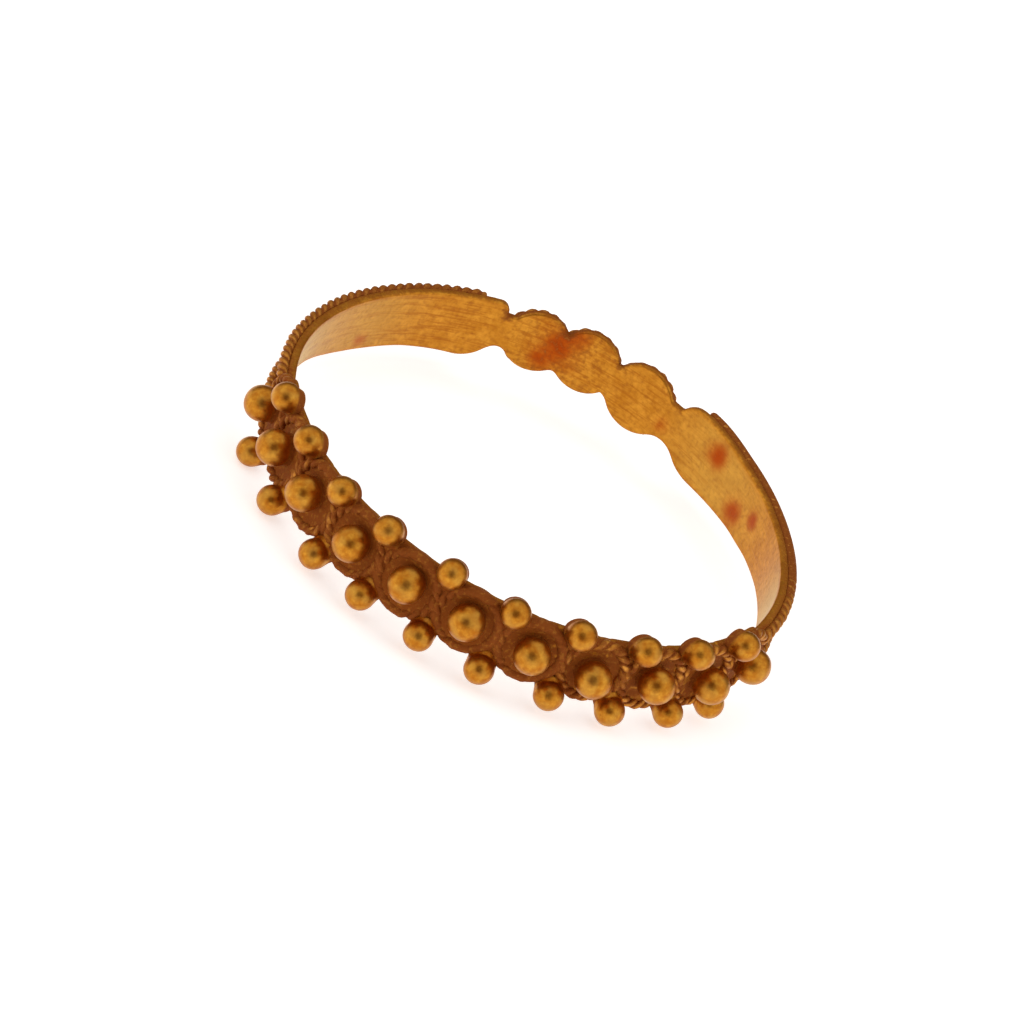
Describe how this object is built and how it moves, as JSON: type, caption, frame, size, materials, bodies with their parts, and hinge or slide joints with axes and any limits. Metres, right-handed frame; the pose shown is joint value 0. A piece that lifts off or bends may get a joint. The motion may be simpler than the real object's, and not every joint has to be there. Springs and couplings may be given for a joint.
{
  "type": "filigree finger ring",
  "caption": "Gold finger ring: a row of rimmed rosettes set with gold granules in front, plain strips edged with twisted wire at the sides, and small rimmed discs at the back.",
  "frame": {"origin": "centre of the finger hole, level with the middle of the front rosettes", "axes": "+Z along the finger hole's axis; the middle front rosette faces -Y and the three plain rosettes are at +Y"},
  "size_m": [0.0188, 0.0191, 0.0037],
  "materials": {
    "gold": null
  },
  "bodies": {
    "root": {"filigree_ring": "gold"}
  },
  "joints": []
}
